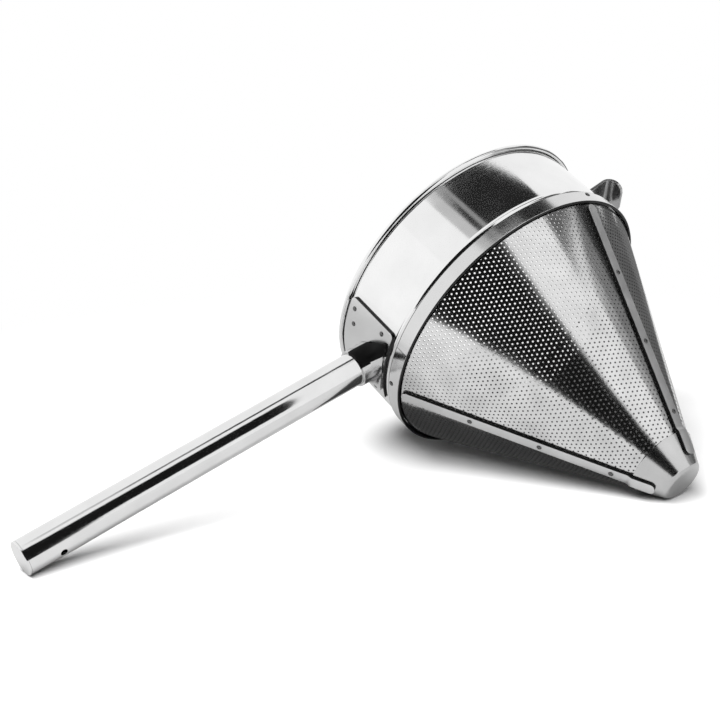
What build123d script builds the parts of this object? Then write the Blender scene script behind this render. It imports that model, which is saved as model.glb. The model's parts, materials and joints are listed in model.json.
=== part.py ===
from build123d import *
import math
import os

# A chinois strainer of rolled and pressed stainless sheet, lying on a table the way a
# cook lays it down: on the lower edge of its reinforcing ring, on the edge of its tip
# cap and on the end of its handle. Every length is in millimetres.
# Each piece is first drawn about the strainer's own axis, with the mouth up along Z,
# the lower edge of the reinforcing ring at zero and the handle along X. The last
# section tips the whole strainer over into its lying place.

# Reinforcing ring round the foot of the collar
ring_radius = 100.0
ring_height = 10.8
ring_wall = 1.6
ring_edge_radius = 0.4
ring_joint_gap = 0.4
ring_joint_angle = 15.3

# Gap between sheets that lie on each other, and the sheet of collar and cone
seat_gap = 0.2
sheet_wall = 0.8

# Collar, with a swaged bead above the ring and a rim curled round a wire
rim_height = 64.2
curl_radius = 1.95
curl_turn = 290.0
wire_gap = 0.2
collar_foot = 1.0
swage_gap = 0.5
swage_height = 4.2
swage_rise = 0.7

# Perforated cone with its plain skirt
skirt_height = 10.0
cone_length = 155.5
tip_radius = 13.6

# Tip cap over the end of the cone
cap_wall = 1.0
cap_height = 20.0
cap_edge_radius = 4.0
cap_overlap = 8.0

# Drain holes, a coarse stand-in for the fine perforation of the real sheet
drain_radius = 1.5
drain_pitch = 16.0
drain_margin = 7.0

# Guard straps down the outside of the cone
strap_count = 3
strap_turn = -4.7
strap_width = 7.5
strap_wall = 1.6
strap_end_gap = 0.6
strap_foot_margin = 7.0
strap_step = 3.0
strap_corner_radius = 3.4
strap_rivet_shares = (0.31, 0.6125, 0.915)

# Rivets, the same small size all over
rivet_radius = 1.0
rivet_clearance = 0.1
rivet_head_radius = 1.7
rivet_head_height = 0.6
rivet_edge_radius = 0.4
rivet_seat = 0.08
ring_rivet_height = 7.4
ring_rivet_turn = -1.7
ring_rivet_count = 3

# Handle tube with its plugged end
handle_radius = 10.9
handle_wall = 1.2
handle_length = 256.6
handle_height = 29.5
handle_slope = -3.4
handle_root_gap = 0.8
plug_wall = 1.4
plug_depth = 9.0
plug_gap = 0.1
plug_edge_radius = 0.7
hang_radius = 2.25
hang_setback = 22.0

# Saddle plate on the collar and the boss that the handle stands in
saddle_wall = 1.5
saddle_half_angle = 17.6
saddle_rim_gap = 1.3
saddle_bead_gap = 0.8
saddle_corner_radius = 3.0
saddle_rivet_shares = ((0.77, 0.88), (0.42, 0.82), (0.82, 0.22))
boss_wall = 1.4
boss_length = 15.0
boss_collar_length = 4.0
boss_root_depth = 3.0
boss_peak = 18.0
boss_foot = 12.6
boss_half_width = 26.0
boss_corner_radius = 5.0
boss_tube_gap = 0.1

# Pot hook on the collar, across from the handle
hook_turn = 175.6
hook_width = 26.0
hook_wall = 2.0
hook_reach = 137.0
hook_drop = 13.5
hook_rise = 4.0
hook_leg_length = 26.0
hook_rim_gap = 1.3
hook_bend_radius = 3.0
hook_corner_radius = 6.0
hook_rivet_start = 6.0
hook_rivet_pitch = 11.0
hook_rivet_count = 2

# How far every cutting tool runs past the piece that it cuts
overrun = 5.0

# Radii of the nested sheets, from the outside in
ring_inner_radius = ring_radius - ring_wall
collar_radius = ring_inner_radius - seat_gap
collar_inner_radius = collar_radius - sheet_wall
skirt_radius = collar_inner_radius - seat_gap
skirt_inner_radius = skirt_radius - sheet_wall
saddle_inner_radius = collar_radius + seat_gap
saddle_radius = saddle_inner_radius + saddle_wall

# Heights along the collar
swage_foot = ring_height + swage_gap
swage_top = swage_foot + swage_height
curl_height = rim_height - curl_radius
rim_underside = curl_height - curl_radius
saddle_foot = swage_top + saddle_bead_gap
saddle_top = rim_underside - saddle_rim_gap

# Slope of the cone, which the cap and the straps follow
cap_build = seat_gap + cap_wall
cone_angle = math.atan2(skirt_radius - (tip_radius - cap_build), cone_length)
cone_cos = math.cos(cone_angle)
cone_sin = math.sin(cone_angle)
cone_tan = math.tan(cone_angle)
cap_top = cap_height - cone_length
cone_foot = cap_top - cap_overlap


def cone_radius(height, build=0.0):
    """Radius, at a height, of the surface that lies the given build outside the cone."""
    return skirt_radius + height * cone_tan + build / cone_cos


def cone_place(angle, height, build=0.0):
    """Plane touching that surface, with its Z square to the sheet and its Y up the slope."""
    outward = Vector(1, 0, 0).rotate(Axis.Z, angle)
    across = Vector(0, 1, 0).rotate(Axis.Z, angle)
    square = outward * cone_cos - Vector(0, 0, cone_sin)
    point = outward * cone_radius(height) + Vector(0, 0, height) + square * build
    return Plane(origin=point, x_dir=across, z_dir=square)


def collar_place(angle, height, radius):
    """Plane touching an upright cylinder of that radius, with its Z outward and its Y up."""
    outward = Vector(1, 0, 0).rotate(Axis.Z, angle)
    across = Vector(0, 1, 0).rotate(Axis.Z, angle)
    return Plane(origin=outward * radius + Vector(0, 0, height), x_dir=across, z_dir=outward)


def turned(points, arc=360.0):
    """Solid of revolution about Z from corners given as radius and height."""
    outline = Polyline(*points, close=True)
    return revolve(Plane.XZ * make_face(outline), Axis.Z, arc)


def rivet(grip):
    """Rivet through a grip below Z zero, its two heads a hair clear of the curved sheets."""
    head = Cylinder(rivet_head_radius, rivet_head_height, align=(Align.CENTER, Align.CENTER, Align.MIN))
    head = fillet(head.edges().sort_by(Axis.Z)[-1], rivet_edge_radius)
    shank = Cylinder(rivet_radius, grip + rivet_seat + rivet_seat)
    shank = Pos(0, 0, -grip / 2) * shank
    return Pos(0, 0, rivet_seat) * head + shank + Pos(0, 0, -grip - rivet_seat) * Rot(180, 0, 0) * head


def rivet_hole():
    """Tool that clears a rivet's shank through every sheet that it holds."""
    return Cylinder(rivet_radius + rivet_clearance, overrun + overrun)


def drilled(piece, places):
    """The piece with a rivet hole at each place."""
    return piece - [place * rivet_hole() for place in places]


def riveted(places, grip):
    """One rivet at each place, as separate solids of one group."""
    return Compound([place * rivet(grip) for place in places])


# Places of the rivets, on the outer face of the outermost sheet that each one holds
ring_rivet_angles = [ring_rivet_turn + 360.0 / ring_rivet_count * n for n in range(ring_rivet_count)]
ring_rivet_places = [collar_place(angle, ring_rivet_height, ring_radius) for angle in ring_rivet_angles]

saddle_rivet_places = []
for side in (-1, 1):
    for angle_share, height_share in saddle_rivet_shares:
        rivet_angle = side * angle_share * saddle_half_angle
        rivet_height = saddle_foot + height_share * (saddle_top - saddle_foot)
        saddle_rivet_places.append(collar_place(rivet_angle, rivet_height, saddle_radius))

hook_top = rim_underside - hook_rim_gap
hook_face_radius = collar_radius + seat_gap + hook_wall
hook_foot = hook_top - hook_leg_length
hook_rivet_places = []
for n in range(hook_rivet_count):
    rivet_height = hook_foot + hook_rivet_start + n * hook_rivet_pitch
    hook_rivet_places.append(collar_place(hook_turn, rivet_height, hook_face_radius))

strap_angles = [strap_turn + 360.0 / strap_count * n for n in range(strap_count)]
strap_rivet_heights = [share * cap_top for share in strap_rivet_shares]


def strap_rivet_places(angle):
    """Rivet places down the middle of the strap at that angle."""
    return [cone_place(angle, height, seat_gap + strap_wall) for height in strap_rivet_heights]


def reinforcing_ring():
    """Band round the collar's foot, its ends butted with a fine joint."""
    band = Cylinder(ring_radius, ring_height, align=(Align.CENTER, Align.CENTER, Align.MIN))
    band = fillet(band.edges().filter_by(GeomType.CIRCLE), ring_edge_radius)
    tall = 2 * (ring_height + overrun)
    band -= Cylinder(ring_inner_radius, tall)
    joint = Box(ring_wall + overrun, ring_joint_gap, tall)
    band -= Rot(0, 0, ring_joint_angle) * Pos(ring_inner_radius, 0, 0) * joint
    return drilled(band, ring_rivet_places)


def collar():
    """Upper band of the bowl: plain foot, swaged bead, plain wall and curled rim in one sheet."""
    curl_center = collar_inner_radius + curl_radius
    swage_middle = (swage_foot + swage_top) / 2
    outer_curl = CenterArc((curl_center, curl_height), curl_radius, 180, -curl_turn)
    inner_curl = CenterArc((curl_center, curl_height), curl_radius - sheet_wall, 180, -curl_turn)
    outline = Curve() + [
        Line((collar_inner_radius, collar_foot), (collar_radius, collar_foot)),
        Line((collar_radius, collar_foot), (collar_radius, swage_foot)),
        ThreePointArc(
            (collar_radius, swage_foot),
            (collar_radius + swage_rise, swage_middle),
            (collar_radius, swage_top),
        ),
        Line((collar_radius, swage_top), inner_curl @ 0),
        inner_curl,
        Line(inner_curl @ 1, outer_curl @ 1),
        outer_curl,
        Line(outer_curl @ 0, (collar_inner_radius, swage_top)),
        ThreePointArc(
            (collar_inner_radius, swage_top),
            (collar_inner_radius + swage_rise, swage_middle),
            (collar_inner_radius, swage_foot),
        ),
        Line((collar_inner_radius, swage_foot), (collar_inner_radius, collar_foot)),
    ]
    sheet = revolve(Plane.XZ * make_face(outline), Axis.Z)
    return drilled(sheet, ring_rivet_places + saddle_rivet_places + hook_rivet_places)


def rim_wire():
    """Round wire that the rim is curled round."""
    wire_radius = curl_radius - sheet_wall - wire_gap
    section = Pos(collar_inner_radius + curl_radius, curl_height) * Circle(wire_radius)
    return revolve(Plane.XZ * section, Axis.Z)


def drain_places():
    """Staggered rows of places on the cone, clear of the straps and of both plain ends."""
    row_step = drain_pitch * cone_cos * math.sin(math.radians(60))
    places = []
    height = -drain_margin
    row = 0
    while height > cap_top + drain_margin / 2:
        around = math.tau * cone_radius(height)
        copies = int(around / drain_pitch)
        clear_angle = math.degrees((strap_width / 2 + drain_radius + seat_gap) / cone_radius(height))
        for n in range(copies):
            angle = (n + row % 2 / 2) * 360.0 / copies
            offsets = [abs((angle - strap_angle + 180) % 360 - 180) for strap_angle in strap_angles]
            if min(offsets) > clear_angle:
                places.append(cone_place(angle, height))
        height -= row_step
        row += 1
    return places


def perforated_cone():
    """Cone sheet with its skirt, drain holes and rivet holes."""
    inner_corner = sheet_wall * (1 - cone_cos) / cone_sin
    sheet = turned([
        (skirt_radius, skirt_height),
        (skirt_radius, 0),
        (cone_radius(cone_foot), cone_foot),
        (cone_radius(cone_foot, -sheet_wall), cone_foot),
        (skirt_inner_radius, inner_corner),
        (skirt_inner_radius, skirt_height),
    ])
    for angle in strap_angles:
        sheet = drilled(sheet, strap_rivet_places(angle))
    sheet = drilled(sheet, ring_rivet_places)
    drain = Cylinder(drain_radius, sheet_wall + sheet_wall + sheet_wall)
    return sheet - [place * drain for place in drain_places()]


def rounded_tip(build, foot, top, edge_radius):
    """Solid tip of the cone, grown by the build and with its lower edge rounded."""
    tip = turned([(0, foot), (cone_radius(foot, build), foot), (cone_radius(top, build), top), (0, top)])
    return fillet(tip.edges().filter_by(GeomType.CIRCLE).sort_by(Axis.Z)[0], edge_radius)


def tip_cap():
    """Blunt cap over the end of the cone."""
    outside = rounded_tip(cap_build, -cone_length, cap_top, cap_edge_radius)
    inside = rounded_tip(seat_gap, cap_wall - cone_length, cap_top + overrun, cap_edge_radius - cap_wall)
    return outside - inside


def guard_strap(angle):
    """Strip that lies on the cone, steps up over the cap's edge and ends round on the cap."""
    foot = strap_foot_margin - cone_length
    step_top = cap_top + strap_step
    step_foot = cap_top + seat_gap
    over_cap = cap_build + seat_gap
    inner = [(0, seat_gap), (step_top, seat_gap), (step_foot, over_cap), (foot - overrun, over_cap)]
    outer = [(height, build + strap_wall) for height, build in reversed(inner)]
    corners = [(cone_radius(height, build), height) for height, build in inner + outer]
    sector = 90.0
    strip = Rot(0, 0, angle - sector / 2) * turned(corners, sector)
    length = (-strap_end_gap - foot) / cone_cos
    middle = (-strap_end_gap + foot) / 2
    plan = RectangleRounded(strap_width, length, strap_corner_radius)
    cutter = extrude(plan, amount=over_cap + strap_wall + overrun, both=True)
    strip &= cone_place(angle, middle) * cutter
    return drilled(strip, strap_rivet_places(angle))


# The handle's own frame: Z out along the tube from where its axis meets the ring's radius
slope = math.radians(handle_slope)
handle_frame = Plane(
    origin=(ring_radius, 0, handle_height),
    x_dir=(0, 1, 0),
    z_dir=(math.cos(slope), 0, math.sin(slope)),
)


def handle_tube():
    """Plain tube with the hanging hole through both walls near its end."""
    length = handle_length - plug_wall - plug_gap - handle_root_gap
    tube = Cylinder(handle_radius, length, align=(Align.CENTER, Align.CENTER, Align.MIN))
    tube -= Cylinder(handle_radius - handle_wall, length + length + overrun)
    tube = Pos(0, 0, handle_root_gap) * tube
    hole = Rot(90, 0, 0) * Cylinder(hang_radius, handle_radius + handle_radius + overrun)
    tube -= Pos(0, 0, handle_length - hang_setback) * hole
    return handle_frame * tube


def handle_end_plug():
    """Flat end disc with a short cup that sits inside the tube."""
    disc = Cylinder(handle_radius, plug_wall, align=(Align.CENTER, Align.CENTER, Align.MAX))
    disc = fillet(disc.edges().sort_by(Axis.Z)[-1], plug_edge_radius)
    cup_radius = handle_radius - handle_wall - plug_gap
    cup = Cylinder(cup_radius, plug_depth, align=(Align.CENTER, Align.CENTER, Align.MAX))
    cup -= Cylinder(cup_radius - handle_wall, plug_depth + plug_depth + overrun)
    return handle_frame * Pos(0, 0, handle_length) * (disc + Pos(0, 0, -plug_wall) * cup)


def saddle_plate():
    """Curved plate that spreads the handle's load over the collar."""
    width = 2 * saddle_radius * math.sin(math.radians(saddle_half_angle))
    height = saddle_top - saddle_foot
    plan = RectangleRounded(width, height, saddle_corner_radius)
    depth = saddle_radius * (1 - math.cos(math.radians(saddle_half_angle))) + overrun
    middle = collar_place(0, (saddle_top + saddle_foot) / 2, saddle_radius)
    block = middle * extrude(plan, amount=depth, both=True)
    tall = rim_height + overrun
    shell = Cylinder(saddle_radius, tall + tall) - Cylinder(saddle_inner_radius, tall + tall + overrun)
    return drilled(shell & block, saddle_rivet_places)


def handle_socket():
    """Pressed boss that grows from a three-cornered foot on the plate to a collar round the tube."""
    bore_radius = handle_radius + boss_tube_gap
    corners = [(0, boss_peak), (-boss_half_width, -boss_foot), (boss_half_width, -boss_foot)]
    foot = make_face(Polyline(*corners, close=True))
    foot = fillet(foot.vertices(), boss_corner_radius)
    mouth = Circle(bore_radius + boss_wall)
    body = loft([Pos(0, 0, -boss_root_depth) * foot, Pos(0, 0, boss_length - boss_collar_length) * mouth])
    neck = extrude(mouth, amount=boss_collar_length)
    boss = body + Pos(0, 0, boss_length - boss_collar_length) * neck
    boss -= Cylinder(bore_radius, 2 * (boss_length + boss_root_depth + overrun))
    tall = rim_height + overrun
    return handle_frame * boss - Cylinder(saddle_radius + seat_gap, tall + tall)


def pot_hook():
    """Bent plate: a leg on the collar, an arm out under the rim and a tab turned down."""
    leg_line = hook_face_radius - hook_wall / 2
    arm_line = hook_top - hook_wall / 2
    tab_line = hook_reach - hook_wall / 2
    tab_top = arm_line + hook_rise
    bend = FilletPolyline(
        (leg_line, hook_foot),
        (leg_line, arm_line),
        (tab_line, tab_top),
        (tab_line, tab_top - hook_drop),
        radius=hook_bend_radius,
    )
    plate = extrude(Plane.XZ * trace(bend, line_width=hook_wall), amount=hook_width / 2, both=True)
    leg_depth = hook_face_radius - collar_inner_radius
    leg_height = arm_line - hook_bend_radius - hook_foot
    leg = Box(leg_depth, hook_width, leg_height, align=(Align.MAX, Align.CENTER, Align.MIN))
    plate += Pos(hook_face_radius, 0, hook_foot) * leg
    corners = plate.edges().filter_by(Axis.X)
    plate = fillet(corners.sort_by(Axis.X)[-2:] + corners.sort_by(Axis.Z)[:2], hook_corner_radius)
    tall = rim_height + overrun
    plate -= Cylinder(collar_radius + seat_gap, tall + tall)
    return drilled(Rot(0, 0, hook_turn) * plate, hook_rivet_places)


def lying_place():
    """Where the strainer's own frame lies on the table, which is Z zero.

    The ring's rounded lower edge and the cap's rounded edge set the tilt of the axis.
    The handle's end then rolls down about that axis until its rounded edge touches too.
    """
    cap_center = cone_radius(-cone_length, cap_build) + cap_edge_radius * (cone_tan - 1 / cone_cos)
    ring_center = ring_radius - ring_edge_radius
    run = cone_length - cap_edge_radius + ring_edge_radius
    drop = ring_center - cap_center
    span = math.hypot(run, drop)
    tilt = math.atan2(drop, run) - math.asin((cap_edge_radius - ring_edge_radius) / span)
    tilt_sin = math.sin(tilt)
    tilt_cos = math.cos(tilt)
    lift = ring_edge_radius + tilt_cos * ring_center - tilt_sin * ring_edge_radius
    reach = handle_length - plug_edge_radius
    edge_ring = handle_radius - plug_edge_radius
    along = lift + tilt_sin * (handle_height + reach * math.sin(slope))
    swing = tilt_cos * (ring_radius + reach * math.cos(slope))
    tip_up = math.cos(slope) * tilt_cos
    tip_side = math.sin(slope) * tilt_sin
    # The edge circle's lowest point is at the table when its center's height is this rounding
    # plus the circle's own drop, which gives a quadratic in the cosine of the roll
    a = swing ** 2 + edge_ring ** 2 * tip_up ** 2
    b = 2 * (along - plug_edge_radius) * swing + 2 * edge_ring ** 2 * tip_up * tip_side
    c = (along - plug_edge_radius) ** 2 + edge_ring ** 2 * tip_side ** 2 - edge_ring ** 2
    roll = -math.acos((-b + math.sqrt(b ** 2 - 4 * a * c)) / (2 * a))
    up_side = Vector(tilt_sin, 0, tilt_cos)
    handle_way = up_side * math.cos(roll) + Vector(0, 1, 0) * math.sin(roll)
    mouth_way = Vector(-tilt_cos, 0, tilt_sin)
    return Plane(origin=(0, 0, lift), x_dir=handle_way, z_dir=mouth_way)


pieces = {
    "reinforcing_ring": reinforcing_ring(),
    "collar": collar(),
    "rim_wire": rim_wire(),
    "perforated_cone": perforated_cone(),
    "tip_cap": tip_cap(),
    "handle_tube": handle_tube(),
    "handle_end_plug": handle_end_plug(),
    "saddle_plate": saddle_plate(),
    "handle_socket": handle_socket(),
    "pot_hook": pot_hook(),
    "ring_rivets": riveted(ring_rivet_places, ring_radius - skirt_inner_radius),
    "saddle_rivets": riveted(saddle_rivet_places, saddle_radius - collar_inner_radius),
    "hook_rivets": riveted(hook_rivet_places, hook_face_radius - collar_inner_radius),
}
strap_grip = strap_wall + seat_gap + sheet_wall
for n, strap_angle in enumerate(strap_angles, start=1):
    pieces[f"guard_strap_{n}"] = guard_strap(strap_angle)
    pieces[f"strap_rivets_{n}"] = riveted(strap_rivet_places(strap_angle), strap_grip)

# Tip the strainer over, then center its outline above the origin
lying = lying_place()
placed = {name: lying * piece for name, piece in pieces.items()}
outermost = ("reinforcing_ring", "collar", "tip_cap", "handle_end_plug", "pot_hook")
outline_box = Compound([placed[name] for name in outermost]).bounding_box()
center_x = (outline_box.min.X + outline_box.max.X) / 2
center_y = (outline_box.min.Y + outline_box.max.Y) / 2

os.makedirs("parts", exist_ok=True)
for name, piece in placed.items():
    export_step(Pos(-center_x, -center_y, 0) * piece, f"parts/{name}.step")
print("outline", outline_box.size, "lowest", outline_box.min.Z)
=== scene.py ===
# %% [markdown]
# # A chinois strainer in bright steel
#
# The strainer lies on a white table, on its ring, its tip and the end of its handle.
# Everything on it is stainless sheet, tube or wire, so the picture is made by two things:
# true, clean forms, and what those forms mirror. The construction is already given by the
# frame that is loaded first, and this lesson adds the fine work to it.

import json
import math

import bpy
from mathutils import Matrix, Vector

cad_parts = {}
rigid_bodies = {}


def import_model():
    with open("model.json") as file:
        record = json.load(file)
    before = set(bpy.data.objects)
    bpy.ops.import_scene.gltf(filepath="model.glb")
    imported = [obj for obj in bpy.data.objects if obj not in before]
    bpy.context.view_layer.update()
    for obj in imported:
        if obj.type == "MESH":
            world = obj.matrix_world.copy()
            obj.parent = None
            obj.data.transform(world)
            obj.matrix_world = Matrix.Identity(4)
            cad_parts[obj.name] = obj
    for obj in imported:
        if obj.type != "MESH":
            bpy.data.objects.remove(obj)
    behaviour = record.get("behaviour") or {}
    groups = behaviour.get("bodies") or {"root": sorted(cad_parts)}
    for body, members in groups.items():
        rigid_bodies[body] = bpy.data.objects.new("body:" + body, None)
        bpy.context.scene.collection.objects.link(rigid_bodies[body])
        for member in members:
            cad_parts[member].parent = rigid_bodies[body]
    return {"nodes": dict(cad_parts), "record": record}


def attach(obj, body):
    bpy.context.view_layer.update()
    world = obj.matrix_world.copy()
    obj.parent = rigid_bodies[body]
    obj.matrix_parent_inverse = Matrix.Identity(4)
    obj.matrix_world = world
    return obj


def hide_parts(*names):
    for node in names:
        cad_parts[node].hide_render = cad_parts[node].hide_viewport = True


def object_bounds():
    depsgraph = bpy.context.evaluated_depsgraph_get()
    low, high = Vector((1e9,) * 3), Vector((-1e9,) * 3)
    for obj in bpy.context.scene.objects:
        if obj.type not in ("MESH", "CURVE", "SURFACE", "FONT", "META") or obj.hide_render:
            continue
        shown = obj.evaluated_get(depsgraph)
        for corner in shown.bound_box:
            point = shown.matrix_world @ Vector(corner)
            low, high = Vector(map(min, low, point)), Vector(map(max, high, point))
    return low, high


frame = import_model()
nodes = frame["nodes"]
frame_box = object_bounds()
MM = 0.001
for corner in frame_box:
    print("corner of the frame box, metres:", [round(value, 4) for value in corner])

# %% [markdown]
# The bowl leans over, so its pieces are easiest to draw about its own axis: mouth up along Z,
# the lower edge of the ring at zero, the handle along X. Two places that the frame names give
# that axis: the middle of the ring, where the bowl sits in a stand, and the hanging hole in the
# handle. One matrix then carries each finished piece over to where it lies.

# %% Find the strainer's own axis
mounts = {mount["name"]: mount for mount in frame["record"]["mounts"]}
ring_middle = Vector(mounts["bowl_seat"]["pos_m"])
mouth_way = -Vector(mounts["bowl_seat"]["axis"]).normalized()
hole_offset = Vector(mounts["hanging_hole"]["pos_m"]) - ring_middle
handle_way = (hole_offset - mouth_way * hole_offset.dot(mouth_way)).normalized()
side_way = mouth_way.cross(handle_way)
own_frame = Matrix((handle_way, side_way, mouth_way)).transposed().to_4x4()
own_frame.translation = ring_middle
to_own = own_frame.inverted()
print("axis leans", round(math.degrees(math.asin(mouth_way.z)), 2), "degrees from the table")

# %% [markdown]
# Sizes are read off the frame's nodes, seen from that axis, so that what is drawn here follows
# the construction and is never typed twice.

# %% Measure the nodes about the axis
def spans(name):
    """Least and greatest radius, then least and greatest height, of a node about the axis."""
    places = [to_own @ vertex.co for vertex in nodes[name].data.vertices]
    radii = [math.hypot(place.x, place.y) for place in places]
    heights = [place.z for place in places]
    return min(radii), max(radii), min(heights), max(heights)


ring_inner, ring_outer, ring_foot, ring_top = spans("reinforcing_ring")
collar_inner, _, collar_foot, rim_top = spans("collar")
_, skirt_outer, cone_foot, skirt_top = spans("perforated_cone")
_, _, tip_end, cap_top = spans("tip_cap")
for name in ("reinforcing_ring", "collar", "perforated_cone", "tip_cap"):
    print(name, "radius and height, mm:", [round(value / MM, 2) for value in spans(name)])

# %% [markdown]
# The photograph was taken with a long lens from in front and a little above. The camera's place,
# what it looks at and its slight roll come from matching the ring's ellipses, the cone's outline
# and the handle's edges to the picture.

# %% Camera
CAMERA_PLACE = Vector((0.6153, -0.5597, 0.3273))
CAMERA_TARGET = Vector((-0.0501, -0.0055, 0.0820))
CAMERA_ROLL = math.radians(-2.45)
FOCAL_LENGTH = 71.08

camera_data = bpy.data.cameras.new("camera")
camera_data.lens = FOCAL_LENGTH
camera = bpy.data.objects.new("camera", camera_data)
bpy.context.scene.collection.objects.link(camera)
aim = (CAMERA_TARGET - CAMERA_PLACE).to_track_quat("-Z", "Y").to_matrix().to_4x4()
roll = Matrix.Rotation(CAMERA_ROLL, 4, "Z")
camera.matrix_world = Matrix.Translation(CAMERA_PLACE) @ aim @ roll
bpy.context.scene.camera = camera
bpy.context.scene.view_settings.view_transform = "Standard"
print("camera right way", [round(value, 4) for value in camera.matrix_world.col[0][:3]])

# %% [markdown]
# The table is plain white and runs on into a white room, so the strainer seems to float on its
# own contact shadows. The floor is a real matt surface, which keeps those shadows, and the room
# is a plain white world: seen or mirrored it is white, while most of the light that falls on
# matt things comes from one soft lamp overhead, a little to the camera's side. It is long the
# way the cone lies and narrow across it, so the cone's shadow stays short and close under it,
# while the handle's shadow, which crosses that way, is spread out until it is faint.
#
# In the steel the near floor is darker than to the eye, which gives the pieces their grey
# undersides. Light that reaches the table by way of the steel is cut down, or it would draw
# bright patches there.

# %% Small helpers for materials and for picking
def new_material(name):
    """Material with an empty node tree, and its output node."""
    material = bpy.data.materials.new(name)
    material.use_nodes = True
    material.node_tree.nodes.clear()
    return material, material.node_tree.nodes.new("ShaderNodeOutputMaterial")


def plain_select():
    """With nothing selected, the next operator acts on the new piece alone."""
    bpy.ops.object.select_all(action="DESELECT")


def select_only(piece):
    """Selects one piece and makes it the one that is worked on."""
    plain_select()
    piece.select_set(True)
    bpy.context.view_layer.objects.active = piece


def edit_all():
    """Opens the piece in edit mode with all of it selected."""
    bpy.ops.object.mode_set(mode="EDIT")
    bpy.ops.mesh.select_all(action="SELECT")


def math_node(tree, operation, *inputs):
    """A Math node fed with sockets or plain numbers."""
    node = tree.nodes.new("ShaderNodeMath")
    node.operation = operation
    for socket, value in zip(node.inputs, inputs):
        if isinstance(value, (int, float)):
            socket.default_value = value
        else:
            tree.links.new(value, socket)
    return node.outputs[0]


def ray_kinds(tree):
    """Three masks: seen or mirrored at all, after a matt surface, and mirrored in steel."""
    path = tree.nodes.new("ShaderNodeLightPath").outputs
    seen = math_node(tree, "MAXIMUM", path["Is Camera Ray"], path["Is Glossy Ray"])
    seen = math_node(tree, "MAXIMUM", seen, path["Is Transmission Ray"])
    bounced = math_node(tree, "MINIMUM", path["Diffuse Depth"], 1.0)
    return seen, bounced, path["Is Glossy Ray"]


# %% White table
FLOOR_SIZE = 12.0
FLOOR_WHITE = 0.97
FLOOR_MIRRORED = 0.50
SECOND_HAND = 0.1
FADE_START = 0.36
FADE_END = 0.62

plain_select()
bpy.ops.mesh.primitive_plane_add(size=FLOOR_SIZE)
floor = bpy.context.object
floor.name = "floor"
floor_paint, floor_output = new_material("white_table")
table = floor_paint.node_tree
matt = table.nodes.new("ShaderNodeBsdfDiffuse")
plain_white = table.nodes.new("ShaderNodeEmission")
where = table.nodes.new("ShaderNodeTexCoord")
distance = table.nodes.new("ShaderNodeVectorMath")
distance.operation = "LENGTH"
table.links.new(where.outputs["Object"], distance.inputs[0])
fade = table.nodes.new("ShaderNodeMapRange")
fade.interpolation_type = "SMOOTHSTEP"
fade.inputs["From Min"].default_value = FADE_START
fade.inputs["From Max"].default_value = FADE_END
table.links.new(distance.outputs["Value"], fade.inputs["Value"])
seen, bounced, mirrored = ray_kinds(table)
matt_tone = math_node(table, "MULTIPLY_ADD", mirrored, FLOOR_MIRRORED - FLOOR_WHITE, FLOOR_WHITE)
second_hand = math_node(table, "MULTIPLY", mirrored, bounced)
second_hand = math_node(table, "MULTIPLY_ADD", second_hand, SECOND_HAND - 1.0, 1.0)
matt_tone = math_node(table, "MULTIPLY", matt_tone, second_hand)
table.links.new(matt_tone, matt.inputs["Color"])
direct = math_node(table, "SUBTRACT", 1.0, bounced)
far_white = math_node(table, "MULTIPLY", fade.outputs["Result"], seen)
far_white = math_node(table, "MULTIPLY", far_white, direct)
blend = table.nodes.new("ShaderNodeMixShader")
table.links.new(far_white, blend.inputs["Fac"])
table.links.new(matt.outputs[0], blend.inputs[1])
table.links.new(plain_white.outputs[0], blend.inputs[2])
table.links.new(blend.outputs[0], floor_output.inputs["Surface"])
floor.data.materials.append(floor_paint)
print("floor turns plain white between", FADE_START, "and", FADE_END, "metres out")

# %% White room
ROOM_LIGHT = 0.09

world = bpy.data.worlds.new("white_room")
bpy.context.scene.world = world
world.use_nodes = True
room = world.node_tree
room.nodes.clear()
background = room.nodes.new("ShaderNodeBackground")
background.inputs["Color"].default_value = (1, 1, 1, 1)
seen, bounced, _ = ray_kinds(room)
seen_white = math_node(room, "MULTIPLY_ADD", bounced, SECOND_HAND - 1.0, 1.0 - ROOM_LIGHT)
room_strength = math_node(room, "MULTIPLY_ADD", seen, seen_white, ROOM_LIGHT)
room.links.new(room_strength, background.inputs["Strength"])
room_output = room.nodes.new("ShaderNodeOutputWorld")
room.links.new(background.outputs[0], room_output.inputs["Surface"])
print("room gives matt things a light of", ROOM_LIGHT)

# %% Soft lamp overhead
LAMP_LENGTH = 2.4
LAMP_WIDTH = 0.9
LAMP_POWER = 58.0
LAMP_PLACE = Vector((0.42, -0.62, 1.32))
LAMP_TARGET = Vector((0.05, 0.0, 0.0))

lamp_data = bpy.data.lights.new("overhead_lamp", "AREA")
lamp_data.shape = "RECTANGLE"
lamp_data.size = LAMP_LENGTH
lamp_data.size_y = LAMP_WIDTH
lamp_data.energy = LAMP_POWER
lamp = bpy.data.objects.new("overhead_lamp", lamp_data)
lamp_back = (LAMP_PLACE - LAMP_TARGET).normalized()
lamp_across = lamp_back.cross(mouth_way).normalized()
lamp_along = lamp_across.cross(lamp_back)
lamp_aim = Matrix((lamp_along, lamp_across, lamp_back)).transposed().to_4x4()
lamp.matrix_world = Matrix.Translation(LAMP_PLACE) @ lamp_aim
lamp.visible_glossy = False
bpy.context.scene.collection.objects.link(lamp)
print("lamp lies along", [round(value, 2) for value in lamp_along])

# %% [markdown]
# Steel is drawn by what it mirrors. In the photograph the cone carries a black band, the collar
# a black patch, and the right side is grey: the dark front of the room where the camera stands,
# a gap in the light overhead, and something grey off to the right. Each is a flat card in that
# place, unseen by the camera, throwing no shadow, and there only in the steel. One more lies
# close over the floor and deepens the mirrored shadow under the cone.

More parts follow.
